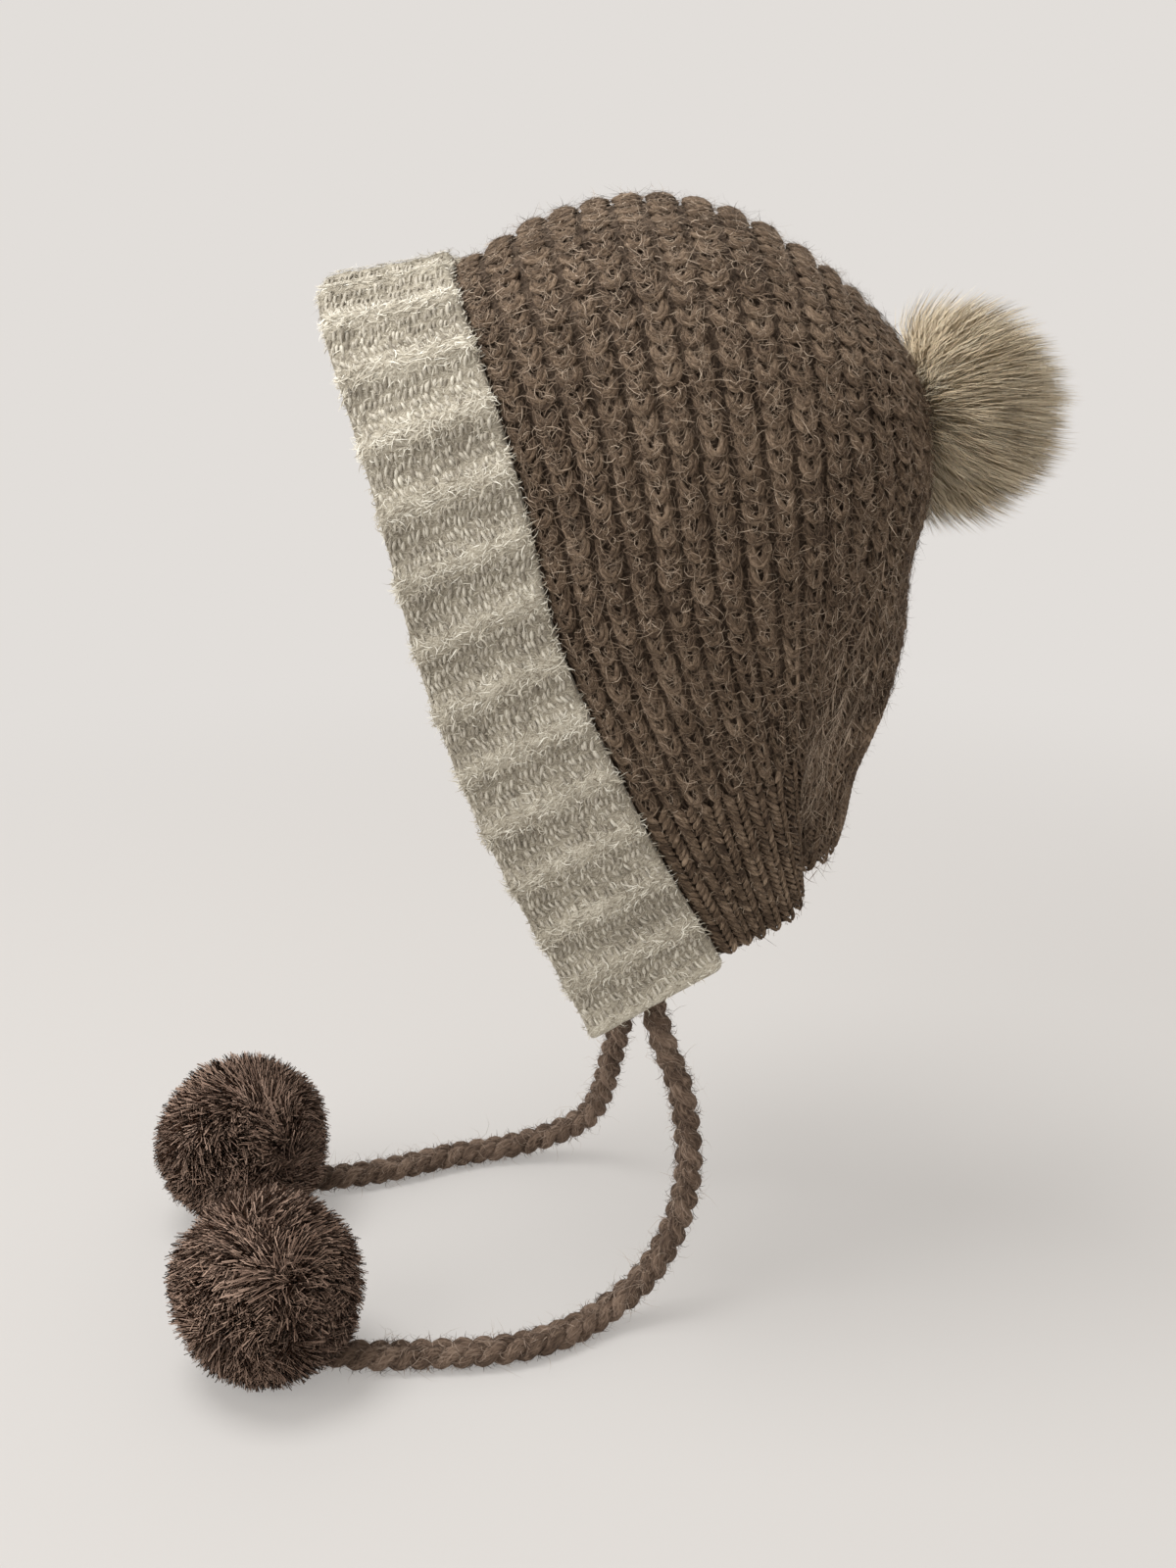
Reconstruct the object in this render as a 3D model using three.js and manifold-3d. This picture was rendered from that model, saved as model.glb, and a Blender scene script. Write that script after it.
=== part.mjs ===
// Knitted hood: a waffle-knit shell over the head, a turned-back ribbed band round the
// face, a fur pompom at the back of the crown, and two braided ties that hang from the
// band's lower corners and end in yarn pompoms.
// Millimetres, +Z up. The face looks along -Y and +X is the wearer's left. The origin is
// the highest point of the crown's inner face, where the top of a head bears.

import * as THREE from 'three';
import Module from 'manifold-3d';

const kernel = await Module();
kernel.setup();
const { Manifold, Mesh: SolidMesh } = kernel;

// Driving sizes
const GAP = 0.3;
const SHELL_WALL = 5;
const COLUMNS_PER_HALF = 20;
const COLUMN_RIDGE = 1.2;
const COLUMN_VALLEY = -0.8;
const BAND_WIDTH = 56;
const BAND_LAP = 9;
const BAND_LAYER = 4.5;
const BAND_FOLD = 4;
const BAND_RIBS_PER_HALF = 14;
const BAND_RIB_HEIGHT = 2.6;
const FUR_POMPOM_RADIUS = 42;
const TIE_POMPOM_RADIUS = 38;
const CORD_RADIUS = 6.2;
const TABLE_BELOW_CROWN = 431.3;

// Sections of the hood's outer face, one row for a knit column of the wearer's left
// half. `along` is the distance from the face edge round the head at ear height. The
// column starts on the crest (x = 0), is widest at the shoulder, passes the jaw and ends
// at the hem. The fifth and sixth rows hold the soft tuck behind the ear: its ridge
// and its hollow, which deepens down to the hem.
const SECTIONS = [
  { along: 0, crestY: -124, crestZ: -31, shoulder: [77, -87, -122], jaw: [74, -62, -208], hem: [57, -19, -307] },
  { along: 56, crestY: -73, crestZ: -20.5, shoulder: [81, -33, -125], jaw: [77, -1, -206], hem: [64, 32, -271] },
  { along: 86, crestY: -38, crestZ: -2.5, shoulder: [83, -3, -120], jaw: [73, 25, -203], hem: [53, 47, -267] },
  { along: 116, crestY: -1, crestZ: 4.5, shoulder: [81, 27, -108], jaw: [64, 45, -199], hem: [42, 60, -262] },
  { along: 140, crestY: 31, crestZ: -2, shoulder: [77, 52, -97], jaw: [55.5, 58, -196], hem: [31, 62, -256] },
  { along: 165, crestY: 63, crestZ: -20.5, shoulder: [68, 75, -88], jaw: [49, 62, -194], hem: [25, 53, -252] },
  { along: 190, crestY: 84, crestZ: -38.5, shoulder: [54, 93.5, -80], jaw: [40, 75.5, -193], hem: [21, 69, -250] },
  { along: 214, crestY: 95, crestZ: -53, shoulder: [33, 101.5, -75], jaw: [27, 87, -193], hem: [14, 75, -248.5] },
  { along: 235, crestY: 101, crestZ: -63.5, shoulder: [13, 104, -76], jaw: [10, 91.5, -192], hem: [6, 77, -248] },
  { along: 250, crestY: 103, crestZ: -68, shoulder: [0, 105, -78], jaw: [0, 92.5, -192], hem: [0, 77.5, -248] },
];
const BACK = SECTIONS.at(-1).along;
const CREST = 0.5;

// Routes of the two ties from inside the band's lower corner down to the table and along
// it to their pompoms. The points are the braid's centreline.
const LEFT_ROUTE = [
  [52.4, -0.5, -274], [50.7, 2.8, -284], [50, 5.2, -297], [52.2, 9.6, -312], [56, 17, -331],
  [59, 20.5, -352], [61, 20.8, -366], [62.5, 17.5, -384], [64.5, 11, -400], [67.5, 2, -413],
  [73, -9.5, -421.5], [81, -20, -425], [91, -32, -425], [98, -45, -425], [102, -60, -425],
  [105, -80, -425], [107.5, -100, -425], [108, -114, -424], [109, -127, -420],
];
const RIGHT_ROUTE = [
  [-52.4, -0.5, -274], [-50.7, 1.5, -284], [-49.7, 0.5, -298], [-49.3, -3, -318], [-49.5, -8.5, -338],
  [-51, -13.5, -356], [-53.5, -18, -376], [-57.5, -22.5, -394], [-61, -29, -407],
  [-62.5, -40, -415.5], [-61.5, -55, -421.5], [-58.5, -72, -425], [-50.5, -92, -425],
  [-39.5, -111, -425], [-31.5, -127, -425], [-26.5, -142, -425], [-21, -154, -424],
  [-12, -165, -420],
];

// Numbers along a row of knots: a cubic through each knot whose slope is that between
// its two neighbours, so rows of uneven spacing join smoothly.
function throughKnots(knots, values, at) {
  let k = 1;
  while (k < knots.length - 2 && at > knots[k + 1]) k += 1;
  const span = knots[k + 1] - knots[k];
  const u = (at - knots[k]) / span;
  const slopeIn = (values[k + 1] - values[k - 1]) / (knots[k + 1] - knots[k - 1]);
  const slopeOut = (values[k + 2] - values[k]) / (knots[k + 2] - knots[k]);
  const u2 = u * u;
  const u3 = u2 * u;
  return (2 * u3 - 3 * u2 + 1) * values[k] + (u3 - 2 * u2 + u) * span * slopeIn
    + (3 * u2 - 2 * u3) * values[k + 1] + (u3 - u2) * span * slopeOut;
}

// The table with one more row at each end: in front it goes straight on, and past the
// middle of the back it is the other half's row, with x turned over.
function extendedSections() {
  const flat = SECTIONS.map((row) => (
    [row.along, row.crestY, row.crestZ, ...row.shoulder, ...row.jaw, ...row.hem]
  ));
  const before = flat[0].map((value, i) => 2 * value - flat[1][i]);
  const mirrored = flat.at(-2).map((value, i) => ([3, 6, 9].includes(i) ? -value : value));
  mirrored[0] = 2 * BACK - mirrored[0];
  return [before, ...flat, mirrored];
}
const ROWS = extendedSections();
const KNOTS = ROWS.map((row) => row[0]);

function sectionAt(along) {
  const value = (i) => throughKnots(KNOTS, ROWS.map((row) => row[i]), along);
  const point = (i) => new THREE.Vector3(value(i), value(i + 1), value(i + 2));
  return {
    crest: new THREE.Vector3(0, value(1), value(2)),
    shoulder: point(3),
    jaw: point(6),
    hem: point(9),
  };
}

// One knit column as a chain of points from the crest to the hem: a rounded quarter arch
// down to the shoulder, then two cubics through the jaw to the hem.
const ARCH_STEPS = 24;
const DROP_STEPS = 14;
const ARCH_SQUARENESS = 0.035;
const CREST_LEAN = 0.5;

function cubic(a, b, slopeA, slopeB, u) {
  const u2 = u * u;
  const u3 = u2 * u;
  return a.clone().multiplyScalar(2 * u3 - 3 * u2 + 1)
    .addScaledVector(slopeA, u3 - 2 * u2 + u)
    .addScaledVector(b, 3 * u2 - 2 * u3)
    .addScaledVector(slopeB, u3 - u2);
}

function columnChain(along) {
  const { crest, shoulder, jaw, hem } = sectionAt(along);
  const chain = [];
  for (let i = 0; i <= ARCH_STEPS; i += 1) {
    const turn = (Math.PI / 2) * (i / ARCH_STEPS);
    const bulge = ARCH_SQUARENESS * Math.sin(2 * turn) ** 2;
    const out = Math.sin(turn) + bulge;
    const down = 1 - Math.cos(turn) - bulge;
    const back = (1 - CREST_LEAN) * (1 - Math.cos(turn)) + CREST_LEAN * Math.sin(turn) ** 2;
    chain.push(new THREE.Vector3(
      shoulder.x * out,
      crest.y + (shoulder.y - crest.y) * back,
      crest.z + (shoulder.z - crest.z) * down,
    ));
  }
  const leave = new THREE.Vector3(0, (shoulder.y - crest.y) * (1 - CREST_LEAN), shoulder.z - crest.z);
  leave.multiplyScalar((shoulder.z - jaw.z) / Math.max(crest.z - shoulder.z, 1));
  const middle = hem.clone().sub(shoulder).multiplyScalar(0.5);
  const arrive = hem.clone().sub(jaw);
  for (let i = 1; i <= DROP_STEPS; i += 1) {
    chain.push(cubic(shoulder, jaw, leave, middle, i / DROP_STEPS));
  }
  for (let i = 1; i <= DROP_STEPS; i += 1) {
    chain.push(cubic(jaw, hem, middle, arrive, i / DROP_STEPS));
  }
  return chain;
}

// The same chain with its length so far at each point, worked out once for each column.
const measuredColumns = new Map();

function measuredColumn(along) {
  if (!measuredColumns.has(along)) {
    const chain = columnChain(along);
    const lengths = [0];
    for (let i = 1; i < chain.length; i += 1) {
      lengths.push(lengths[i - 1] + chain[i].distanceTo(chain[i - 1]));
    }
    measuredColumns.set(along, { chain, lengths });
  }
  return measuredColumns.get(along);
}

// A point on the outer face: `along` as in the table, and `round` from 0 at the left hem
// over the crest to 1 at the right hem, in equal steps of cloth. Past the middle of the
// back it goes on over the other half.
function skinPoint(along, round) {
  const otherSide = (along > BACK) !== (round > CREST);
  const { chain, lengths } = measuredColumn(along > BACK ? 2 * BACK - along : along);
  const fromCrest = Math.abs(round - CREST) / CREST;
  const want = fromCrest * lengths.at(-1);
  let k = 1;
  while (k < lengths.length - 1 && lengths[k] < want) k += 1;
  const u = (want - lengths[k - 1]) / (lengths[k] - lengths[k - 1]);
  const point = chain[k - 1].clone().lerp(chain[k], u);
  if (otherSide) point.x = -point.x;
  return point;
}

// The outward normal, from points a little way off on both sides. Where the crest runs
// into the middle of the back, the two directions fold together, so the point is first
// moved a little down the column and forwards.
const NEAR_ALONG = 1.5;
const NEAR_ROUND = 0.006;

function skinNormal(along, round) {
  const atPeak = along > BACK - NEAR_ALONG && Math.abs(round - CREST) < NEAR_ROUND;
  if (atPeak) {
    const left = skinNormal(BACK - 2 * NEAR_ALONG, CREST - 2 * NEAR_ROUND);
    return left.setX(0).normalize();
  }
  const lo = Math.max(round - NEAR_ROUND, 0);
  const hi = Math.min(round + NEAR_ROUND, 1);
  const byAlong = skinPoint(along + NEAR_ALONG, round).sub(skinPoint(along - NEAR_ALONG, round));
  if (along > BACK - NEAR_ALONG) {
    const other = skinPoint(BACK - 2 * NEAR_ALONG, round);
    byAlong.set(-2 * other.x, 0, 0);
  }
  const byRound = skinPoint(along, hi).sub(skinPoint(along, lo));
  return byAlong.cross(byRound).normalize();
}

function offSkin(along, round, out) {
  return skinPoint(along, round).addScaledVector(skinNormal(along, round), out);
}

// A closed solid from corner points and triangles, and back to three.js geometry.
function solidFrom(points, triangles) {
  const vertProperties = new Float32Array(points.flatMap((p) => [p.x, p.y, p.z]));
  const made = new Manifold(new SolidMesh({
    numProp: 3,
    vertProperties,
    triVerts: new Uint32Array(triangles.flat()),
  }));
  return made;
}

function geometryOf(solid) {
  const mesh = solid.getMesh();
  const geometry = new THREE.BufferGeometry();
  geometry.setAttribute('position', new THREE.BufferAttribute(mesh.vertProperties, 3));
  geometry.setIndex(new THREE.BufferAttribute(mesh.triVerts, 1));
  const flat = geometry.toNonIndexed();
  flat.computeVertexNormals();
  return flat;
}

function largestBody(solid) {
  return solid.decompose().reduce((best, body) => (body.volume() > best.volume() ? body : best));
}

// Shell: one knitted wall with its columns in low relief. It starts under the band, and
// its two halves meet along the middle of the back. The hollow is open at the face and
// at the neck.
const SHELL_ALONG_STEPS = 2 * COLUMNS_PER_HALF;
const SHELL_ROUND_STEPS = 28;
const SHELL_START = BAND_WIDTH - BAND_LAP;

function shellStations() {
  const pitch = (BACK - BAND_WIDTH) / SHELL_ALONG_STEPS;
  const stations = [{ along: SHELL_START, relief: COLUMN_VALLEY }];
  for (let i = 0; i <= SHELL_ALONG_STEPS; i += 1) {
    const relief = i % 2 ? COLUMN_RIDGE : COLUMN_VALLEY;
    stations.push({ along: BAND_WIDTH + i * pitch, relief });
  }
  return stations;
}

function shellSolid() {
  const stations = shellStations();
  const last = stations.length - 1;
  const points = [];
  const index = new Map();
  const key = (face, i, j) => `${face} ${i} ${i === last ? Math.min(j, SHELL_ROUND_STEPS - j) : j}`;
  for (const face of ['outer', 'inner']) {
    stations.forEach(({ along, relief }, i) => {
      for (let j = 0; j <= SHELL_ROUND_STEPS; j += 1) {
        const name = key(face, i, j);
        if (index.has(name)) continue;
        index.set(name, points.length);
        points.push(offSkin(along, j / SHELL_ROUND_STEPS, face === 'outer' ? relief : -SHELL_WALL));
      }
    });
  }
  const at = (face, i, j) => index.get(key(face, i, j));
  const triangles = [];
  const quad = (a, b, c, d) => {
    triangles.push([a, b, c], [a, c, d]);
  };
  for (let i = 0; i < last; i += 1) {
    for (let j = 0; j < SHELL_ROUND_STEPS; j += 1) {
      quad(at('outer', i, j), at('outer', i + 1, j), at('outer', i + 1, j + 1), at('outer', i, j + 1));
      quad(at('inner', i, j + 1), at('inner', i + 1, j + 1), at('inner', i + 1, j), at('inner', i, j));
    }
    const far = SHELL_ROUND_STEPS;
    quad(at('outer', i + 1, 0), at('outer', i, 0), at('inner', i, 0), at('inner', i + 1, 0));
    quad(at('outer', i, far), at('outer', i + 1, far), at('inner', i + 1, far), at('inner', i, far));
  }
  for (let j = 0; j < SHELL_ROUND_STEPS; j += 1) {
    quad(at('outer', 0, j), at('outer', 0, j + 1), at('inner', 0, j + 1), at('inner', 0, j));
  }
  const real = triangles.filter(([a, b, c]) => a !== b && b !== c && c !== a);
  return solidFrom(points, real);
}

// Face band: ribbed cloth folded double. Its inner layer meets the shell's front edge,
// and its outer layer laps over the shell. The ribs run across the band, one ridge at
// each hem and the rest evenly between.
const BAND_STEPS_PER_RIB = 4;
const BAND_ROUND_STEPS = 2 * BAND_RIBS_PER_HALF * BAND_STEPS_PER_RIB;

function bandProfile(round) {
  const phase = Math.cos(2 * Math.PI * round * 2 * BAND_RIBS_PER_HALF);
  const top = BAND_LAYER + BAND_RIB_HEIGHT * Math.max(phase, -0.25);
  const inside = -BAND_LAYER;
  return [
    [BAND_WIDTH, GAP],
    [BAND_WIDTH, top * 0.7],
    [BAND_WIDTH - 3, top],
    [BAND_WIDTH * 0.62, top],
    [BAND_WIDTH * 0.34, top],
    [BAND_FOLD, top],
    [BAND_FOLD * 0.25, top * 0.6],
    [0, 0],
    [BAND_FOLD * 0.25, inside * 0.6],
    [BAND_FOLD, inside],
    [BAND_WIDTH * 0.45, inside],
    [SHELL_START - GAP, inside],
    [SHELL_START - GAP, GAP],
  ];
}

function bandSolid() {
  const points = [];
  const triangles = [];
  const count = bandProfile(0).length;
  for (let j = 0; j <= BAND_ROUND_STEPS; j += 1) {
    const round = j / BAND_ROUND_STEPS;
    for (const [along, out] of bandProfile(round)) points.push(offSkin(along, round, out));
  }
  for (let j = 0; j < BAND_ROUND_STEPS; j += 1) {
    for (let i = 0; i < count; i += 1) {
      const a = j * count + i;
      const b = j * count + ((i + 1) % count);
      triangles.push([a, b + count, b], [a, a + count, b + count]);
    }
  }
  const outline = bandProfile(0).map(([along, out]) => new THREE.Vector2(along, out));
  const lid = THREE.ShapeUtils.triangulateShape(outline, []);
  const end = BAND_ROUND_STEPS * count;
  for (const [a, b, c] of lid) {
    triangles.push([a, b, c], [end + a, end + c, end + b]);
  }
  return solidFrom(points, triangles);
}

// Pompom: a ball of locks. Each corner of a fine icosahedron is the tip of a lock, and
// the middle of each of its faces is the valley between three locks. `comb` pushes the
// tips one way, and a fixed sequence of small changes keeps them from looking turned.
function pompomSolid({ centre, radius, detail, lockDepth, comb, seed }) {
  const ball = new THREE.IcosahedronGeometry(1, detail);
  const position = ball.getAttribute('position');
  const points = [];
  const triangles = [];
  const index = new Map();
  let state = seed;
  const change = () => {
    state = (state * 16807) % 2147483647;
    return state / 2147483647 - 0.5;
  };
  const tip = (i) => {
    const direction = new THREE.Vector3().fromBufferAttribute(position, i).normalize();
    const name = direction.toArray().map((value) => value.toFixed(4)).join(' ').replaceAll('-0.0000', '0.0000');
    if (!index.has(name)) {
      index.set(name, points.length);
      const reach = radius - 0.35 * lockDepth * (change() + 0.5);
      const bent = direction.clone().addScaledVector(comb, 0.12)
        .add(new THREE.Vector3(change(), change(), change()).multiplyScalar(0.08)).normalize();
      points.push(bent.multiplyScalar(reach).add(centre));
    }
    return index.get(name);
  };
  for (let i = 0; i < position.count; i += 3) {
    const corners = [tip(i), tip(i + 1), tip(i + 2)];
    const valley = new THREE.Vector3();
    for (let k = 0; k < 3; k += 1) valley.add(new THREE.Vector3().fromBufferAttribute(position, i + k));
    const middle = points.length;
    points.push(valley.normalize().multiplyScalar(radius - lockDepth * (1 + 0.3 * change())).add(centre));
    for (let k = 0; k < 3; k += 1) triangles.push([corners[k], corners[(k + 1) % 3], middle]);
  }
  return solidFrom(points, triangles);
}

// Cord: the braid's round outer form, swept along its route.
const CORD_SIDES = 8;
const CORD_STEPS = 34;

function cordGeometry(route, radius) {
  const path = new THREE.CatmullRomCurve3(route.map((p) => new THREE.Vector3(...p)), false, 'centripetal');
  const section = new THREE.Shape();
  for (let i = 0; i < CORD_SIDES; i += 1) {
    const turn = (2 * Math.PI * i) / CORD_SIDES;
    const [x, y] = [radius * Math.cos(turn), radius * Math.sin(turn)];
    if (i) section.lineTo(x, y);
    else section.moveTo(x, y);
  }
  section.closePath();
  return new THREE.ExtrudeGeometry(section, { steps: CORD_STEPS, extrudePath: path, bevelEnabled: false });
}

function solidOfGeometry(geometry) {
  const position = geometry.getAttribute('position');
  const points = [];
  const index = new Map();
  const corner = [];
  for (let i = 0; i < position.count; i += 1) {
    const point = new THREE.Vector3().fromBufferAttribute(position, i);
    const name = point.toArray().map((value) => Math.round(value * 1e3)).join(' ');
    if (!index.has(name)) {
      index.set(name, points.length);
      points.push(point);
    }
    corner.push(index.get(name));
  }
  const triangles = [];
  for (let i = 0; i < corner.length; i += 3) triangles.push(corner.slice(i, i + 3));
  return solidFrom(points, triangles);
}

// Materials by colour and finish
const brownKnit = new THREE.MeshStandardMaterial({ color: 0x64503f, roughness: 0.95, metalness: 0 });
const creamKnit = new THREE.MeshStandardMaterial({ color: 0xc8c0af, roughness: 0.95, metalness: 0 });
const beigeFur = new THREE.MeshStandardMaterial({ color: 0xb09c7e, roughness: 0.9, metalness: 0 });
const brownYarn = new THREE.MeshStandardMaterial({ color: 0x735a4b, roughness: 0.95, metalness: 0 });

const group = new THREE.Group();

function add(name, geometry, material) {
  const mesh = new THREE.Mesh(geometry, material);
  mesh.name = name;
  group.add(mesh);
}

// Assembly
const shell = shellSolid();
add('hood_shell', geometryOf(shell), brownKnit);
add('face_band', geometryOf(bandSolid()), creamKnit);

// The fur pompom is sewn to the crown's peak, so its side there takes the shell's form.
const furBall = pompomSolid({
  centre: new THREE.Vector3(0, 114, -72),
  radius: FUR_POMPOM_RADIUS,
  detail: 3,
  lockDepth: 6,
  comb: new THREE.Vector3(0, 1, -0.1),
  seed: 11,
});
const room = Manifold.union(['x', 'y', 'z'].flatMap((axis) => [-GAP, GAP].map((step) => {
  const move = { x: [step, 0, 0], y: [0, step, 0], z: [0, 0, step] }[axis];
  return shell.translate(move);
})));
add('crown_pompom', geometryOf(largestBody(furBall.subtract(room))), beigeFur);

// Each tie's end goes a little way into its pompom.
const ties = [
  { side: 'left', route: LEFT_ROUTE, centre: [111, -139.6, -TABLE_BELOW_CROWN + TIE_POMPOM_RADIUS], seed: 5 },
  { side: 'right', route: RIGHT_ROUTE, centre: [1, -177.5, -TABLE_BELOW_CROWN + TIE_POMPOM_RADIUS], seed: 23 },
];
for (const { side, route, centre, seed } of ties) {
  add(`cord_${side}`, cordGeometry(route, CORD_RADIUS), brownYarn);
  const yarnBall = pompomSolid({
    centre: new THREE.Vector3(...centre),
    radius: TIE_POMPOM_RADIUS,
    detail: 2,
    lockDepth: 5,
    comb: new THREE.Vector3(0, 0, 0),
    seed,
  });
  const end = new THREE.Vector3(...route.at(-1));
  const back = new THREE.Vector3(...route.at(-2));
  const beyond = end.clone().add(end.clone().sub(back).setLength(GAP));
  const socket = solidOfGeometry(cordGeometry([...route, beyond.toArray()], CORD_RADIUS + GAP));
  add(`cord_pompom_${side}`, geometryOf(largestBody(yarnBall.subtract(socket))), brownYarn);
}

export default group;
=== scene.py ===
import math

import bpy
import numpy as np
from mathutils import Matrix, Vector


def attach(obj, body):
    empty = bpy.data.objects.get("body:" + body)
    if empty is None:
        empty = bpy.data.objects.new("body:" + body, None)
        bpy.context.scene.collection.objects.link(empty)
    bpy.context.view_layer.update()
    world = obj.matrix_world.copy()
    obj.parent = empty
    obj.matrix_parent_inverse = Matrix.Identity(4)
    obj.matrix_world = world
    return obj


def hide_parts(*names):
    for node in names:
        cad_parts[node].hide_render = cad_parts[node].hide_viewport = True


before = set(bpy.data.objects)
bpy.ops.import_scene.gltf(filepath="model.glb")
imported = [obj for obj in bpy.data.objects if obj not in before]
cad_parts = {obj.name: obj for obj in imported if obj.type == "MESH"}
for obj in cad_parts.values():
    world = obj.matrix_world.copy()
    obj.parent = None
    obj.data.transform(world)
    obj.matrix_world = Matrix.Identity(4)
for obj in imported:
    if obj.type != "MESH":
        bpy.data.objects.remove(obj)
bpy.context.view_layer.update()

# Camera. It stands off the hood's left side, a little behind its middle, and looks down at
# it by 18 degrees.
CAMERA_PLACE = (0.7136, 0.0306, 0.0078)
CAMERA_TURN = math.radians(4.37)
CAMERA_DIP = math.radians(17.89)
CAMERA_LENS = 42.19
CAMERA_FILM = 36.0

camera_data = bpy.data.cameras.new("side_camera")
camera_data.sensor_fit = "VERTICAL"
camera_data.sensor_height = CAMERA_FILM
camera_data.lens = CAMERA_LENS
camera_data.clip_end = 60
camera = bpy.data.objects.new("side_camera", camera_data)
look = Vector((
    -math.cos(CAMERA_DIP) * math.cos(CAMERA_TURN),
    -math.cos(CAMERA_DIP) * math.sin(CAMERA_TURN),
    -math.sin(CAMERA_DIP),
))
right = look.cross(Vector((0, 0, 1))).normalized()
up = right.cross(look)
turn = Matrix((right, up, -look)).transposed().to_4x4()
camera.matrix_world = Matrix.Translation(CAMERA_PLACE) @ turn
bpy.context.scene.collection.objects.link(camera)
bpy.context.scene.camera = camera

# Ties. Each is a three-strand braid of soft brown yarn, sewn inside the band's lower
# corner. It hangs down, lies on the table and ends in its pompom.
TABLE_Z = -0.4313
STRAND_RADIUS = 0.0031
STRAND_SWING = 0.0033
STRAND_CROSSING = 0.0019
BRAID_REPEAT = 0.0245
BRAID_STEPS = 220
LEFT_ROUTE = np.array([
    (52.4, -0.5, -274), (50.7, 2.8, -284), (50, 5.2, -297), (52.2, 9.6, -312), (56, 17, -331),
    (59, 20.5, -352), (61, 20.8, -366), (62.5, 17.5, -384), (64.5, 11, -400), (67.5, 2, -413),
    (73, -9.5, -421.5), (81, -20, -425), (91, -32, -425), (98, -45, -425), (102, -60, -425),
    (105, -80, -425), (107.5, -100, -425), (108, -114, -424), (109, -127, -420),
]) / 1000
RIGHT_ROUTE = np.array([
    (-52.4, -0.5, -274), (-50.7, 1.5, -284), (-49.7, 0.5, -298), (-49.3, -3, -318), (-49.5, -8.5, -338),
    (-51, -13.5, -356), (-53.5, -18, -376), (-57.5, -22.5, -394), (-61, -29, -407),
    (-62.5, -40, -415.5), (-61.5, -55, -421.5), (-58.5, -72, -425), (-50.5, -92, -425),
    (-39.5, -111, -425), (-31.5, -127, -425), (-26.5, -142, -425), (-21, -154, -424),
    (-12, -165, -420),
]) / 1000
BRAID_SIDE = np.array([0.9, 0.43, 0.0])


def unit(vectors):
    """Each vector divided by its length."""
    return vectors / np.maximum(np.linalg.norm(vectors, axis=-1, keepdims=True), 1e-12)


def add_piece(name, points, quads, material, uv=None, tone=None, normals=None):
    """A mesh object from arrays: points (n, 3), quads (m, 4), one uv pair and one tone number for
    each point. A quad whose last two corners are the same becomes a triangle."""
    mesh = bpy.data.meshes.new(name)
    quads = np.asarray(quads)
    is_triangle = quads[:, 2] == quads[:, 3]
    keep = np.ones(quads.shape, bool)
    keep[:, 3] = ~is_triangle
    totals = np.where(is_triangle, 3, 4)
    corners = quads[keep]
    starts = np.concatenate([[0], np.cumsum(totals)[:-1]])
    mesh.vertices.add(len(points))
    mesh.vertices.foreach_set("co", np.ascontiguousarray(points, np.float32).ravel())
    mesh.loops.add(len(corners))
    mesh.loops.foreach_set("vertex_index", corners.astype(np.int32))
    mesh.polygons.add(len(quads))
    mesh.polygons.foreach_set("loop_start", starts.astype(np.int32))
    mesh.polygons.foreach_set("loop_total", totals.astype(np.int32))
    mesh.polygons.foreach_set("use_smooth", np.ones(len(quads), bool))
    if uv is not None:
        layer = mesh.uv_layers.new(name="along_yarn")
        layer.data.foreach_set("uv", np.asarray(uv, np.float32)[corners].ravel())
    if tone is not None:
        attribute = mesh.attributes.new("tone", "FLOAT", "POINT")
        attribute.data.foreach_set("value", np.asarray(tone, np.float32))
    mesh.update(calc_edges=True)
    mesh.validate()
    if normals is not None:
        mesh.normals_split_custom_set_from_vertices(normals.astype(np.float32))
    piece = bpy.data.objects.new(name, mesh)
    piece.data.materials.append(material)
    bpy.context.scene.collection.objects.link(piece)
    return piece


def length_so_far(lines):
    """The length of each line up to each of its points: the running sum of its steps."""
    steps = np.linalg.norm(np.diff(lines, axis=-2), axis=-1)
    return np.concatenate([steps[..., :1] * 0, np.cumsum(steps, -1)], -1)


def cubic_between(u, a, b, slope_a, slope_b):
    """The cubic from a at u = 0 to b at u = 1 that has these slopes at its ends."""
    return (
        (2 * u**3 - 3 * u**2 + 1) * a + (u**3 - 2 * u**2 + u) * slope_a
        + (3 * u**2 - 2 * u**3) * b + (u**3 - u**2) * slope_b
    )


def through_points(points, steps):
    """A smooth line through points, a centripetal Catmull-Rom curve: between two points a cubic
    whose end slopes weigh the neighbours by the square roots of their distances. It is sampled at
    equal lengths. Returns the line and its length up to each point."""
    before = 2 * points[0] - points[1]
    after = 2 * points[-1] - points[-2]
    p = np.vstack([before, points, after])
    gap = np.sqrt(np.linalg.norm(np.diff(p, axis=0), axis=1))[:, None]
    p0, p1, p2, p3 = p[:-3], p[1:-2], p[2:-1], p[3:]
    g0, g1, g2 = gap[:-2], gap[1:-1], gap[2:]
    slope_in = ((p1 - p0) / g0 - (p2 - p0) / (g0 + g1) + (p2 - p1) / g1) * g1
    slope_out = ((p2 - p1) / g1 - (p3 - p1) / (g1 + g2) + (p3 - p2) / g2) * g1
    u = np.linspace(0, 1, 40, endpoint=False)[None, :, None]
    spans = cubic_between(u, *(end[:, None] for end in (p1, p2, slope_in, slope_out)))
    fine = np.vstack([spans.reshape(-1, 3), points[-1]])
    length = length_so_far(fine)
    at = np.linspace(0, length[-1], steps)
    return np.stack([np.interp(at, length, fine[:, i]) for i in range(3)], 1), at


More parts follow.
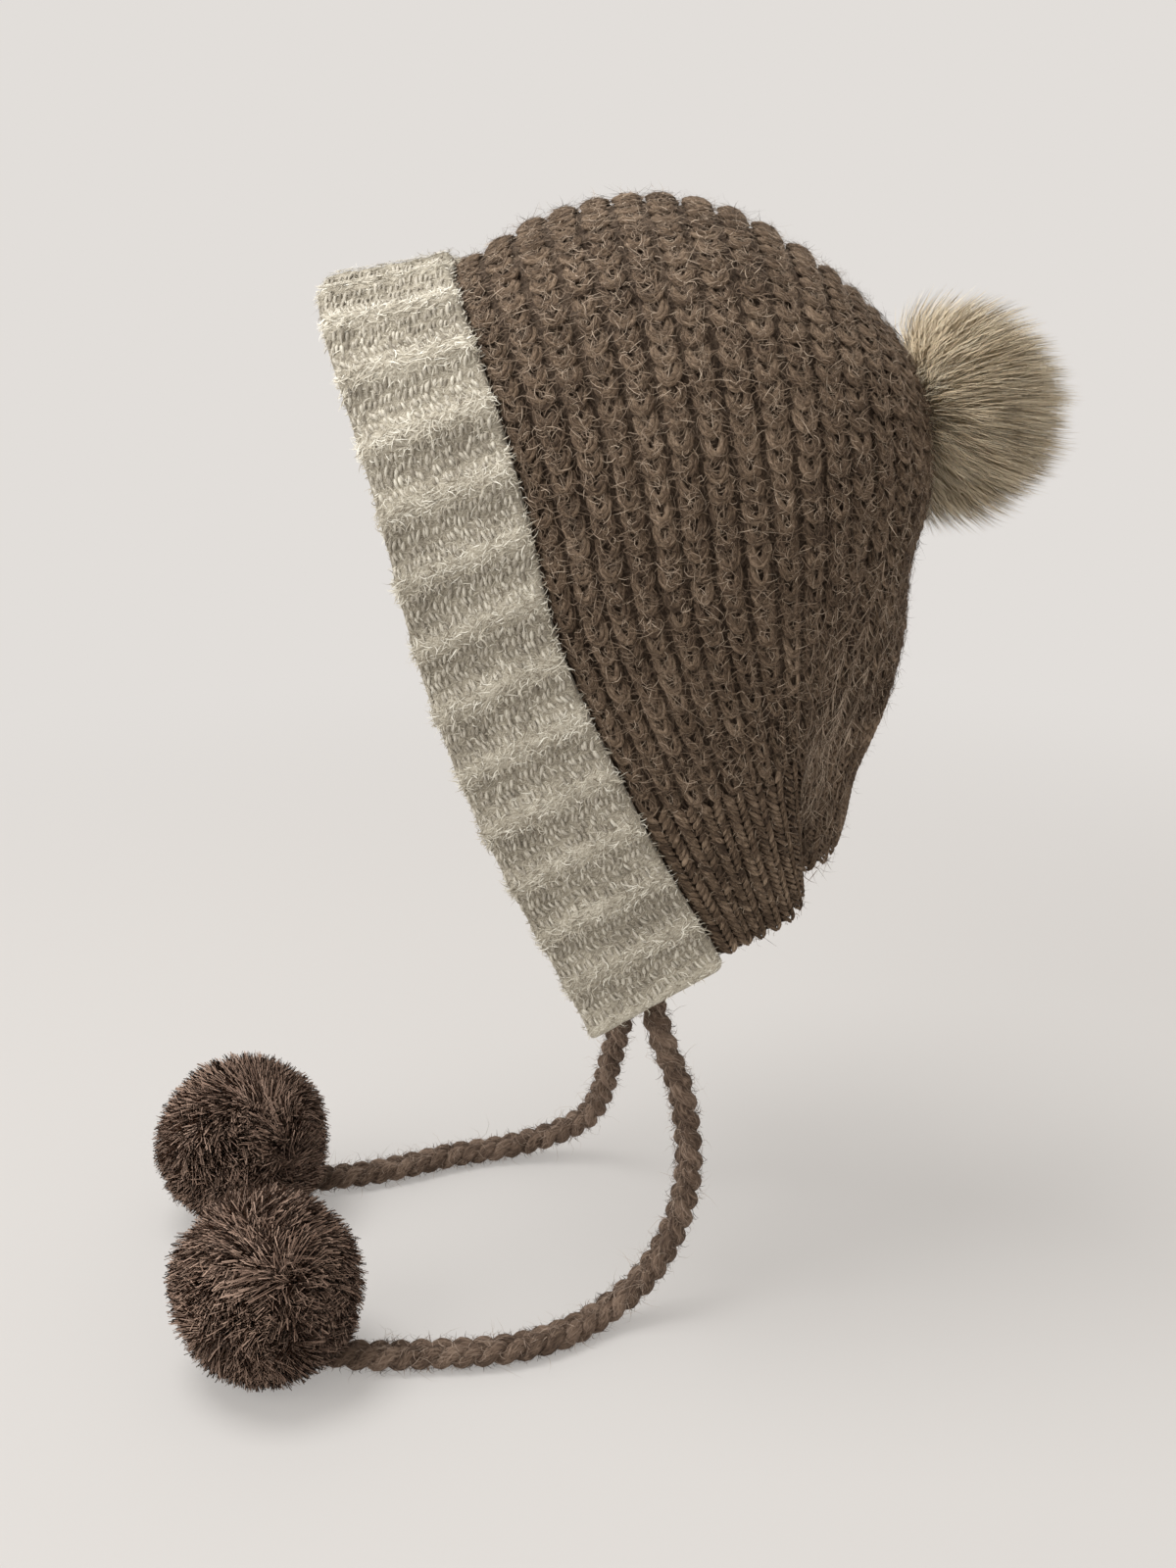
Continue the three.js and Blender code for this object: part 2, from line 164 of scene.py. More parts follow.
def sweep(lines, side, radius, flatness=1.0, sides=8):
    """Tubes round many lines at once. lines is (n, k, 3), side the direction (n, k, 3) that each
    ring's first axis leans to, radius (n, k). A ring is line + radius * (flatness * cos * side +
    sin * across). Returns points, quads and uv in metres, u round the ring and v the length so
    far."""
    lines = np.asarray(lines)
    tangent = unit(np.gradient(lines, axis=1))
    side = unit(side - tangent * (side * tangent).sum(-1, keepdims=True))
    across = np.cross(tangent, side)
    turn = np.linspace(0, 2 * np.pi, sides, endpoint=False)
    ring = (
        side[:, :, None] * np.cos(turn)[:, None] * np.asarray(flatness)
        + across[:, :, None] * np.sin(turn)[:, None]
    )
    points = lines[:, :, None] + ring * np.asarray(radius)[..., None, None]
    n, k = lines.shape[:2]
    index = np.arange(n * k * sides).reshape(n, k, sides)
    nearer, farther = index[:, :-1], index[:, 1:]
    quads = np.stack([
        nearer, np.roll(nearer, -1, 2), np.roll(farther, -1, 2), farther,
    ], -1).reshape(-1, 4)
    v = np.broadcast_to(length_so_far(lines)[..., None], (n, k, sides))
    u = np.abs(np.linspace(-1, 1, sides, endpoint=False)) * np.pi * np.asarray(radius)[..., None]
    u = np.broadcast_to(u, (n, k, sides))
    return points.reshape(-1, 3), quads, np.stack([u, v], -1).reshape(-1, 2)


def add_fibres(name, lines, facing, width, tone, normal, material, blunt=False):
    """Flat fibres along many lines as one piece. lines is (n, k, 3), facing (n, 3) the direction
    that the flat side looks to, width (n,), tone the pair of tones (n,) at root and tip, and
    normal (n, 3) what the light falls on. A fibre narrows to one point, or keeps its width and is
    cut off straight where blunt."""
    n, k = lines.shape[:2]
    across = unit(np.cross(unit(np.gradient(lines, axis=1)), facing[:, None]))
    u = np.linspace(0, 1, k)
    shape = np.ones(k) if blunt else np.clip(1.2 - u, 0, 1) * np.clip(0.6 + 2 * u, 0, 1)
    half = 0.5 * width[:, None, None] * shape[None, :, None]
    edges = np.stack([lines - across * half, lines + across * half], 2).reshape(n, 2 * k, 3)
    step = 2 * np.arange(k - 1)[:, None] + np.array([0, 1, 3, 2])
    each = 2 * k
    if not blunt:
        each = 2 * k - 1
        edges = np.concatenate([edges[:, :-2], lines[:, -1:]], 1)
        step[-1, 2:] = each - 1
    quads = (np.arange(n)[:, None, None] * each + step).reshape(-1, 4)
    place = np.repeat(u, 2)[:each]
    tones = tone[0][:, None] + (tone[1] - tone[0])[:, None] * place
    normals = np.repeat(unit(normal), each, 0)
    return add_piece(name, edges.reshape(-1, 3), quads, material, None, tones.reshape(-1), normals)


def node(tree, kind, **values):
    """A node of a material, with its settings and its sockets' fixed values by name. The nodes
    stand in a row, in the order in which they are made."""
    made = tree.nodes.new(kind)
    made.location = (220 * len(tree.nodes) - 4000, 700)
    for key, value in values.items():
        if key in made.inputs:
            made.inputs[key].default_value = value
        else:
            setattr(made, key, value)
    return made


def ramp(tree, source, stops):
    """A colour ramp over source, with stops as (place, colour)."""
    made = node(tree, "ShaderNodeValToRGB")
    elements = made.color_ramp.elements
    elements[0].position, elements[0].color = stops[0][0], (*stops[0][1], 1)
    elements[1].position, elements[1].color = stops[-1][0], (*stops[-1][1], 1)
    for place, colour in stops[1:-1]:
        elements.new(place).color = (*colour, 1)
    tree.links.new(source, made.inputs["Fac"])
    return made


def new_finish(name):
    """A new material with its tree and its shader."""
    material = bpy.data.materials.new(name)
    material.use_nodes = True
    return material, material.node_tree, material.node_tree.nodes["Principled BSDF"]


def noise(tree, place, **values):
    """The strength of a noise pattern that is read at place."""
    made = node(tree, "ShaderNodeTexNoise", **values)
    tree.links.new(place, made.inputs["Vector"])
    return made.outputs["Fac"]


def calculate(tree, operation, *terms):
    """The result of a Math node. Each of its terms is a socket or a fixed number."""
    made = node(tree, "ShaderNodeMath", operation=operation)
    for slot, term in zip(made.inputs, terms):
        if isinstance(term, float):
            slot.default_value = term
        else:
            tree.links.new(term, slot)
    return made.outputs[0]


def soft_surface(tree, shader, toned, stops, grain, rough, gloss, sheen):
    """Colours the shader along stops by toned, sets its roughness between the two of rough by
    grain, and gives it a sheen of the last stop's colour."""
    colour = ramp(tree, toned, stops)
    tree.links.new(colour.outputs["Color"], shader.inputs["Base Color"])
    spread = node(tree, "ShaderNodeMapRange", **{"To Min": rough[0], "To Max": rough[1]})
    tree.links.new(grain, spread.inputs["Value"])
    tree.links.new(spread.outputs["Result"], shader.inputs["Roughness"])
    shader.inputs["Specular IOR Level"].default_value = gloss
    shader.inputs["Sheen Weight"].default_value = sheen
    shader.inputs["Sheen Tint"].default_value = (*stops[-1][1], 1)


def toned_body(tree, scale):
    """What the soft finishes start from: the tone attribute, the place on the piece, a slow pattern
    over it, and that pattern's share of the tone, 0.15 either way."""
    tone = node(tree, "ShaderNodeAttribute", attribute_name="tone").outputs["Fac"]
    body = node(tree, "ShaderNodeTexCoord").outputs["Object"]
    slow = noise(tree, body, Scale=scale, Detail=3.0)
    return tone, body, slow, calculate(tree, "MULTIPLY_ADD", slow, 0.3, -0.15)


def yarn_finish(name, deep, middle, light, thread, bump=0.6, sheen=0.25, depth=0.0005):
    """Soft spun yarn. Two layers of long thin streaks, thread wide and long, lie over the piece's
    own uv and cross at a slant. They colour it from deep to light and raise its fibres. A slow
    change over the piece shifts the tone."""
    material, tree, shader = new_finish(name)
    tone, body, _, slow_share = toned_body(tree, 45.0)
    place = node(tree, "ShaderNodeUVMap", uv_map="along_yarn")
    layers = []
    for slant in (0.3, -0.55):
        turned = {"vector_type": "TEXTURE", "Rotation": (0, 0, slant), "Scale": (*thread, 1)}
        lay = node(tree, "ShaderNodeMapping", **turned)
        tree.links.new(place.outputs["UV"], lay.inputs["Vector"])
        streaks = {"Scale": 1.0, "Detail": 3.0, "Roughness": 0.6, "Distortion": 0.6}
        layers.append(noise(tree, lay.outputs["Vector"], **streaks))
    fibres = calculate(tree, "MAXIMUM", *layers)
    grain = noise(tree, body, Scale=2600.0, Detail=2.0)
    toned = calculate(tree, "ADD", calculate(tree, "ADD", fibres, slow_share), tone)
    stops = ((0.4, deep), (0.56, middle), (0.76, light))
    soft_surface(tree, shader, toned, stops, grain, rough=(0.78, 0.98), gloss=0.2, sheen=sheen)
    height = calculate(tree, "MULTIPLY_ADD", grain, 0.25, fibres)
    raised = node(tree, "ShaderNodeBump", Strength=bump, Distance=depth)
    tree.links.new(height, raised.inputs["Height"])
    tree.links.new(raised.outputs["Normal"], shader.inputs["Normal"])
    return material


def fibre_finish(name, root, middle, tip, sheen=0.15):
    """Loose fibres. The tone attribute colours each point from root over middle to tip, and a slow
    change over the piece shifts it."""
    material, tree, shader = new_finish(name)
    tone, _, slow, slow_share = toned_body(tree, 70.0)
    toned = calculate(tree, "ADD", tone, slow_share)
    stops = ((0.0, root), (0.5, middle), (1.0, tip))
    soft_surface(tree, shader, toned, stops, slow, rough=(0.6, 0.9), gloss=0.25, sheen=sheen)
    return material


def braid_axes(line):
    """A braid's directions at each point of its line: along it, through its depth and over its
    width."""
    along = unit(np.gradient(line, axis=0))
    depth = unit(np.cross(along, BRAID_SIDE))
    return along, depth, np.cross(depth, along)


BRAID_DEEP = (0.04, 0.025, 0.017)
BRAID_THREAD = (0.0007, 0.006)
braid_yarn = yarn_finish(
    "braid_yarn", BRAID_DEEP, (0.13, 0.088, 0.062), (0.28, 0.205, 0.155), BRAID_THREAD, bump=1.0,
)
braid_fuzz = fibre_finish("braid_fuzz", BRAID_DEEP, (0.17, 0.12, 0.088), (0.36, 0.28, 0.22))


def braid(name, route):
    """Three strands round one line. Strand i swings sideways by the sine of its phase and in depth
    by the sine of twice its phase, and the phases are a third of a repeat apart."""
    line, at = through_points(route, BRAID_STEPS)
    _, depth, side = braid_axes(line)
    phase = 2 * np.pi * (at[None] / BRAID_REPEAT + np.arange(3)[:, None] / 3)
    swing = STRAND_SWING * np.sin(phase)[..., None] * side
    crossing = STRAND_CROSSING * np.sin(2 * phase)[..., None] * depth
    strands = line[None] + swing + crossing
    lean = np.broadcast_to(side, strands.shape)
    radius = np.full(strands.shape[:2], STRAND_RADIUS)
    radius[:, [0, -1]] *= 0.2
    points, quads, uv = sweep(strands, lean, radius, sides=10)
    tone = np.repeat(np.random.default_rng(3).uniform(-0.06, 0.06, 3), len(points) // 3)
    return add_piece(name, points, quads, braid_yarn, uv, tone), line


def loose_lines(base, normal, along, heading, length, lift, curl, steps=4):
    """Lines of fibres that start on a surface and wander off it. Each leaves base at the angle
    heading from along, turns evenly by curl radians over its length, and rises by lift with the
    way to the power 1.5. base, normal and along are (n, 3), the others (n,)."""
    u = np.linspace(0, 1, steps)[None, :, None]
    across = np.cross(normal, along)
    turn = heading[:, None, None] + curl[:, None, None] * u
    step = along[:, None] * np.cos(turn) + across[:, None] * np.sin(turn)
    way = np.concatenate([step[:, :1] * 0, np.cumsum(step[:, 1:], 1)], 1) / (steps - 1)
    rise = normal[:, None] * (lift[:, None, None] * u**1.5)
    return base[:, None] + way * length[:, None, None] + rise


def either(rng, chosen, these, others):
    """An even random number for each one: within these where it is chosen, else within others."""
    n = len(chosen)
    return np.where(chosen, rng.uniform(*these, n), rng.uniform(*others, n))


BRAID_HAIRS = 3000
LOOSE_SHARE = 0.11
LOOSE_WIDTH = 0.00016


def fuzz_on_braid(name, line, seed):
    """Hairs round a braid. Each starts at the line's point + reach * (cos * depth + sin * width),
    and most lie along it. The loose ones are longer and thinner, curl every way and stand off."""
    rng = np.random.default_rng(seed)
    n = BRAID_HAIRS
    pick = rng.integers(8, len(line) - 2, n)
    turn = rng.uniform(0, 2 * np.pi, n)[:, None]
    along, depth, side = (axis[pick] for axis in braid_axes(line))
    out = depth * np.cos(turn) + side * np.sin(turn)
    base = line[pick] + out * rng.uniform(0.0042, 0.006, (n, 1)) + along * rng.normal(0, 0.001, (n, 1))
    loose = rng.uniform(0, 1, n) < LOOSE_SHARE
    length = either(rng, loose, (0.007, 0.016), (0.003, 0.007))
    lift = either(rng, loose, (0.001, 0.006), (0, 0.0016))
    heading = np.where(loose, rng.uniform(0, 2 * np.pi, n), rng.normal(0, 0.8, n))
    curl = np.where(loose, rng.normal(0, 3, n), rng.normal(0, 1.5, n))
    lines = loose_lines(base, out, along, heading, length, lift, curl)
    lines[..., 2] = np.maximum(lines[..., 2], TABLE_Z + 0.0003)
    width = np.where(loose, LOOSE_WIDTH, rng.uniform(0.00022, 0.0004, n))
    tone = np.where(loose, 0.9, rng.uniform(-0.2, 0.85, n))
    return add_fibres(name, lines, out, width, (tone, tone + 0.1), out, braid_fuzz)


SEWN_AT = np.array([4, 7, 10, 13])
SEWN_DEPTH = 0.0056
SEWN_WIDTH = 0.0064
SEWING_RADIUS = 0.0009


def sewn_rings(name, line, seed):
    """The turns of yarn that hold a tie to the band: rings round the braid's upper end, each a
    little tilted. A ring is the line's point + reach * (cos * depth + sin * width) + tilt * cos *
    along."""
    rng = np.random.default_rng(seed)
    along, depth, side = (axis[SEWN_AT][:, None] for axis in braid_axes(line))
    turn = np.linspace(0, 2 * np.pi, 25)[None, :, None]
    tilt = rng.normal(0, 0.0012, (len(SEWN_AT), 1, 1))
    round_braid = SEWN_DEPTH * np.cos(turn) * depth + SEWN_WIDTH * np.sin(turn) * side
    lines = line[SEWN_AT][:, None] + round_braid + tilt * np.cos(turn) * along
    radius = np.full(lines.shape[:2], SEWING_RADIUS)
    points, quads, uv = sweep(lines, np.broadcast_to(along, lines.shape), radius, sides=6)
    return add_piece(name, points, quads, braid_yarn, uv, np.zeros(len(points)))


ties = {}
for side, route, seed in (("left", LEFT_ROUTE, 31), ("right", RIGHT_ROUTE, 32)):
    cord_piece, line = braid(f"{side}_braid", route)
    cord_fuzz = fuzz_on_braid(f"{side}_braid_fuzz", line, seed)
    ties[side] = line, cord_piece, cord_fuzz, sewn_rings(f"{side}_tie_sewing", line, seed + 2)

# Tie pompoms. Each is a dense ball of brown yarn, wound, tied in the middle and cut, so
# its ends stand out all round in soft tufts. It lies on the table.
TIE_POMPOM_RADIUS = 0.038
TIE_TUFTS = 1900
TUFT_FIBRES = 16
TIE_POMPOM_PLACES = {"left": (0.111, -0.1396, -0.3933), "right": (0.001, -0.1775, -0.3933)}
POMPOM_DEEP = (0.045, 0.026, 0.018)
POMPOM_MIDDLE = (0.185, 0.115, 0.082)
pompom_fibre = fibre_finish("pompom_yarn", POMPOM_DEEP, POMPOM_MIDDLE, (0.42, 0.29, 0.22))
# The heart's palette is a step darker than the tufts' yarn: painted shade deep inside the ball.
pompom_heart = yarn_finish(
    "pompom_heart", (0.03, 0.018, 0.012), POMPOM_DEEP, POMPOM_MIDDLE, thread=(0.0008, 0.003),
)


def even_directions(count):
    """Directions spread evenly over a ball: heights in equal steps, each turned by the golden angle."""
    i = np.arange(count) + 0.5
    height = 1 - 2 * i / count
    turn = i * np.pi * (3 - math.sqrt(5))
    flat = np.sqrt(1 - height**2)
    return np.stack([flat * np.cos(turn), flat * np.sin(turn), height], 1)


def ring_quads(index):
    """The quads of a grid whose columns close into a ring."""
    return np.stack([
        index[:-1], index[1:], np.roll(index[1:], -1, 1), np.roll(index[:-1], -1, 1),
    ], -1).reshape(-1, 4)


def fan(point, ring, flip=False):
    """The triangles from one point to the edges of a ring."""
    a, b = (np.roll(ring, -1), ring) if flip else (ring, np.roll(ring, -1))
    return np.stack([np.full(len(ring), point), a, b, b], 1)


def closed_skin(rows, columns):
    """The faces of a grid whose columns close into a ring, with its first and last row closed by
    fans to two more points, which come after the grid's own."""
    index = np.arange(rows * columns).reshape(rows, columns)
    ends = [fan(index.size, index[0]), fan(index.size + 1, index[-1], flip=True)]
    return np.vstack([ring_quads(index), *ends])


def ball_heart(name, centre, radius, material, fit=None):
    """The dense middle of a pompom: a ball on a grid of turns and heights, its radius waved by 5
    percent with both. fit is a function that moves its points clear of what carries it."""
    turn, height = np.meshgrid(np.linspace(0, 2 * np.pi, 41)[:-1], np.linspace(0.02, np.pi - 0.02, 24))
    out = np.stack([np.sin(height) * np.cos(turn), np.sin(height) * np.sin(turn), np.cos(height)], -1)
    dents = 1 + 0.05 * np.sin(7 * turn + 3 * np.sin(4 * height)) * np.sin(height)
    skin = (np.array(centre) + out * dents[..., None] * radius).reshape(-1, 3)
    poles = np.array([[0, 0, radius], [0, 0, -radius]]) + np.array(centre)
    points = np.vstack([skin, poles])
    if fit is not None:
        points = fit(points)
    tone = np.zeros(len(points))
    return add_piece(name, points, closed_skin(*turn.shape), material, points[:, :2], tone)


def yarn_pompom(name, centre, seed):
    """Cut ends of yarn, in tufts. A tuft heads out from the centre and leans by a slow swirl over
    the ball. Its straight fibres fan out a little, run from 68 percent of its reach to the whole
    of it, and share its lean, reach and tone. The reach waves by a few percent over the ball."""
    rng = np.random.default_rng(seed)
    heading = unit(even_directions(TIE_TUFTS) + rng.normal(0, 0.04, (TIE_TUFTS, 3)))
    waves = rng.normal(0, 3.2, (3, 3))
    swirl = np.cross(heading, np.sin(heading @ waves + rng.uniform(0, 6, 3)))
    swirl = 0.38 * swirl + rng.normal(0, 0.18, (TIE_TUFTS, 3))
    lumps = np.sin(heading @ rng.normal(0, 2.4, (3, 3)) + rng.uniform(0, 6, 3)).sum(1)
    reach = TIE_POMPOM_RADIUS * rng.uniform(0.9, 1.03, TIE_TUFTS) * (1 + 0.02 * lumps)
    own = np.repeat(np.arange(TIE_TUFTS), TUFT_FIBRES)
    n = len(own)
    u = np.array([0, 1])[None, :, None]
    spread = rng.normal(0, 0.065, (n, 1, 3)) * (0.5 + 0.9 * u)
    direction = unit(heading[own][:, None] + spread + swirl[own][:, None] * (u - 0.4))
    far = reach[own] * rng.uniform(0.95, 1.02, n)
    lines = np.array(centre) + direction * (0.68 + 0.32 * u) * far[:, None, None]
    lines[..., 2] = np.maximum(lines[..., 2], TABLE_Z + 0.0002)
    facing = unit(rng.normal(0, 1, (n, 3)))
    width = rng.uniform(0.00026, 0.00044, n)
    tuft_tone = rng.normal(0.0, 0.13, TIE_TUFTS)[own]
    # Each fibre goes from darker at its root, deep in the ball, to lighter at its tip: painted shade
    # inside the ball and a painted highlight on the tips.
    tone = (tuft_tone + 0.34 + rng.normal(0, 0.08, n), tuft_tone + 0.7 + rng.normal(0, 0.12, n))
    return add_fibres(name, lines, facing, width, tone, direction[:, -1], pompom_fibre, blunt=True)


for side, seed in (("left", 40), ("right", 41)):
    line, cord_piece, cord_fuzz, sewing = ties[side]
    centre = TIE_POMPOM_PLACES[side]
    pompom = yarn_pompom(f"{side}_tie_pompom", centre, seed)
    heart = ball_heart(f"{side}_tie_pompom_heart", centre, TIE_POMPOM_RADIUS * 0.7, pompom_heart)
    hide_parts(f"cord_{side}")
    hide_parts(f"cord_pompom_{side}")
    for piece in (cord_piece, cord_fuzz, sewing, pompom, heart):
        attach(piece, "root")

# Hood. One cloth of brown waffle knit lies over the crown from hem to hem, and its back
# edges are sewn together. Its lowest part is a close rib that draws in round the neck.
SECTIONS = np.array([
    # along, crest y z, shoulder x y z, jaw x y z, hem x y z
    (0, -124, -31, 77, -87, -122, 74, -62, -208, 57, -19, -307),
    (56, -73, -20.5, 81, -33, -125, 77, -1, -206, 64, 32, -271),
    (86, -38, -2.5, 83, -3, -120, 73, 25, -203, 53, 47, -267),
    (116, -1, 4.5, 81, 27, -108, 64, 45, -199, 42, 60, -262),
    (140, 31, -2, 77, 52, -97, 55.5, 58, -196, 31, 62, -256),
    (165, 63, -20.5, 68, 75, -88, 49, 62, -194, 25, 53, -252),
    (190, 84, -38.5, 54, 93.5, -80, 40, 75.5, -193, 21, 69, -250),
    (214, 95, -53, 33, 101.5, -75, 27, 87, -193, 14, 75, -248.5),
    (235, 101, -63.5, 13, 104, -76, 10, 91.5, -192, 6, 77, -248),
    (250, 103, -68, 0, 105, -78, 0, 92.5, -192, 0, 77.5, -248),
]) * np.array([1] + [0.001] * 11)
FACE, BACK = 56.0, SECTIONS[-1, 0]
ARCH_SQUARENESS = 0.035
CREST_LEAN = 0.5
CLOTH_STEPS = 200


def between_rows(along):
    """The table's numbers at any along: a cubic between two rows whose slopes are those between
    their neighbours. In front the table goes straight on, and past the back it is mirrored."""
    ahead = 2 * SECTIONS[0] - SECTIONS[1]
    beyond = SECTIONS[-2] * np.array([1, 1, 1] + [-1, 1, 1] * 3)
    beyond[0] = 2 * BACK - beyond[0]
    rows = np.vstack([ahead, SECTIONS, beyond])
    knots = rows[:, 0]
    k = np.clip(np.searchsorted(knots, along) - 1, 1, len(knots) - 3)
    span = (knots[k + 1] - knots[k])[:, None]
    u = (along - knots[k])[:, None] / span
    slope_in = (rows[k + 1] - rows[k - 1]) / (knots[k + 1] - knots[k - 1])[:, None]
    slope_out = (rows[k + 2] - rows[k]) / (knots[k + 2] - knots[k])[:, None]
    return cubic_between(u, rows[k], rows[k + 1], span * slope_in, span * slope_out)


def columns_of_cloth(along):
    """Knit columns as lines of points from crest to hem. Each is a rounded quarter arch down to
    the shoulder and then two cubics through the jaw, resampled at equal lengths."""
    rows = between_rows(along)
    crest_y, crest_z = rows[:, 1, None], rows[:, 2, None]
    shoulder, jaw, hem = rows[:, 3:6], rows[:, 6:9], rows[:, 9:12]
    turn = np.linspace(0, np.pi / 2, 49)[None]
    bulge = ARCH_SQUARENESS * np.sin(2 * turn) ** 2
    back = (1 - CREST_LEAN) * (1 - np.cos(turn)) + CREST_LEAN * np.sin(turn) ** 2
    arch = np.stack([
        shoulder[:, :1] * (np.sin(turn) + bulge),
        crest_y + (shoulder[:, 1:2] - crest_y) * back,
        crest_z + (shoulder[:, 2:] - crest_z) * (1 - np.cos(turn) - bulge),
    ], -1)
    fall = crest_z[:, 0] - shoulder[:, 2]
    leave = np.stack([fall * 0, (shoulder[:, 1] - crest_y[:, 0]) * (1 - CREST_LEAN), -fall], 1)
    leave *= ((shoulder[:, 2] - jaw[:, 2]) / np.maximum(fall, 0.001))[:, None]
    middle = (hem - shoulder) / 2
    u = np.linspace(0, 1, 31)[None, 1:, None]
    upper = cubic_between(u, *np.stack([shoulder, jaw, leave, middle])[:, :, None])
    lower = cubic_between(u, *np.stack([jaw, hem, middle, hem - jaw])[:, :, None])
    chain = np.concatenate([arch, upper, lower], 1)
    length = length_so_far(chain)
    share = length / length[:, -1:]
    even = np.linspace(0, 1, CLOTH_STEPS + 1)
    smooth = np.stack([
        np.stack([np.interp(even, share[i], chain[i, :, axis]) for axis in range(3)], 1)
        for i in range(len(along))
    ])
    return smooth, length[:, -1]


every_along = np.arange(0, BACK + 0.5)
half_cloth, COLUMN_LENGTH = columns_of_cloth(every_along)

# The back is slack. It falls in by a few millimetres in two soft waves, each a bell over the
# height, and its hem rides up. All of this grows with the square of the way round to the back.
BACK_WAVES = (
    # height, spread, depth
    (-0.126, 0.024, 0.0045),
    (-0.213, 0.022, 0.0055),
)
SLACK_START, SLACK_WAY = 165, 50
HEM_RISE = 0.005
HEM_PART = 0.25
slack = np.clip((every_along - SLACK_START) / SLACK_WAY, 0, 1)[:, None] ** 2
for height, spread, depth in BACK_WAVES:
    half_cloth[..., 1] -= depth * slack * np.exp(-(((half_cloth[..., 2] - height) / spread) ** 2))
near_hem = np.clip((np.linspace(0, 1, CLOTH_STEPS + 1) - 1 + HEM_PART) / HEM_PART, 0, 1)
half_cloth[..., 2] += HEM_RISE * slack * near_hem**2

# The right half mirrors the left. The grid goes on for a dozen steps past the back, over the
# other half, and for one step ahead of the face. Where it closes to a point it faces up and back.
mirror = np.array([-1, 1, 1])
whole_cloth = np.concatenate([(half_cloth * mirror)[:, :0:-1], half_cloth], 1)
past_back = whole_cloth[-2:-14:-1, ::-1]
ahead_of_face = 2 * whole_cloth[:1] - whole_cloth[1:2]
cloth_points = np.concatenate([ahead_of_face, whole_cloth, past_back], 0)
cloth_normals = np.cross(np.gradient(cloth_points, axis=1), np.gradient(cloth_points, axis=0))
cloth_normals[np.linalg.norm(cloth_normals, axis=-1) < 2e-8] = (0, 0.7, 0.7)
cloth_normals = unit(cloth_normals)


def lookup(grid, along, side):
    """Values of a grid over the cloth by even blending of its four nearest points. side runs from
    -1 at the right hem over 0 on the crest to 1 at the left hem."""
    row = np.clip(np.asarray(along, float) + 1, 0, grid.shape[0] - 1.001)
    column = np.clip((np.asarray(side, float) + 1) / 2 * (grid.shape[1] - 1), 0, grid.shape[1] - 1.001)
    i, j = row.astype(int), column.astype(int)
    u, v = (row - i)[..., None], (column - j)[..., None]
    return (
        grid[i, j] * (1 - u) * (1 - v) + grid[i + 1, j] * u * (1 - v)
        + grid[i, j + 1] * (1 - u) * v + grid[i + 1, j + 1] * u * v
    )


def cloth(along, side, out=0.0):
    """The point of the cloth's outer face at along and side, moved out by metres."""
    along, side, out = np.broadcast_arrays(along, side, out)
    return lookup(cloth_points, along, side) + lookup(cloth_normals, along, side) * out[..., None]


def cloth_normal(along, side):
    """The outward direction of the cloth at along and side."""
    return unit(lookup(cloth_normals, *np.broadcast_arrays(along, side)))


def column_length(along):
    """The length of the cloth from crest to hem, in metres."""
    nearer = np.where(np.asarray(along) > BACK, 2 * BACK - along, along)
    return np.interp(nearer, np.arange(len(COLUMN_LENGTH)), COLUMN_LENGTH)


KNIT_COLUMNS = 20
COLUMN_STEP = (BACK - FACE) / KNIT_COLUMNS
KNIT_ROW = 0.0076
NECK_HEIGHT = 0.068
NECK_ROW = 0.0029
NECK_COLUMNS = 16
NECK_SHARE = KNIT_COLUMNS / NECK_COLUMNS
WALL = 0.005
SHELL_START = 47.0
knit_yarn = yarn_finish(
    "waffle_yarn", (0.035, 0.022, 0.014), (0.112, 0.075, 0.048), (0.3, 0.219, 0.152),
    thread=(0.0006, 0.004), bump=1.0, sheen=0.12,
)
# The wall that shows between the stitches has a darker palette than the stitches' own yarn: painted
# shade in the gaps and holes between them.
knit_ground = yarn_finish(
    "knit_ground", (0.03, 0.02, 0.013), (0.085, 0.057, 0.038), (0.18, 0.13, 0.09),
    thread=(0.0007, 0.003), bump=0.8, sheen=0.1, depth=0.0008,
)
knit_fuzz = fibre_finish(
    "knit_fuzz", (0.05, 0.033, 0.021), (0.175, 0.122, 0.082), (0.46, 0.365, 0.275), sheen=0.08,
)


def column_rise(along):
    """How high a place lies on its knit column: 0 in a furrow, 1 on a ridge."""
    return 0.5 - 0.5 * np.cos(2 * np.pi * (np.asarray(along) - FACE) / COLUMN_STEP)


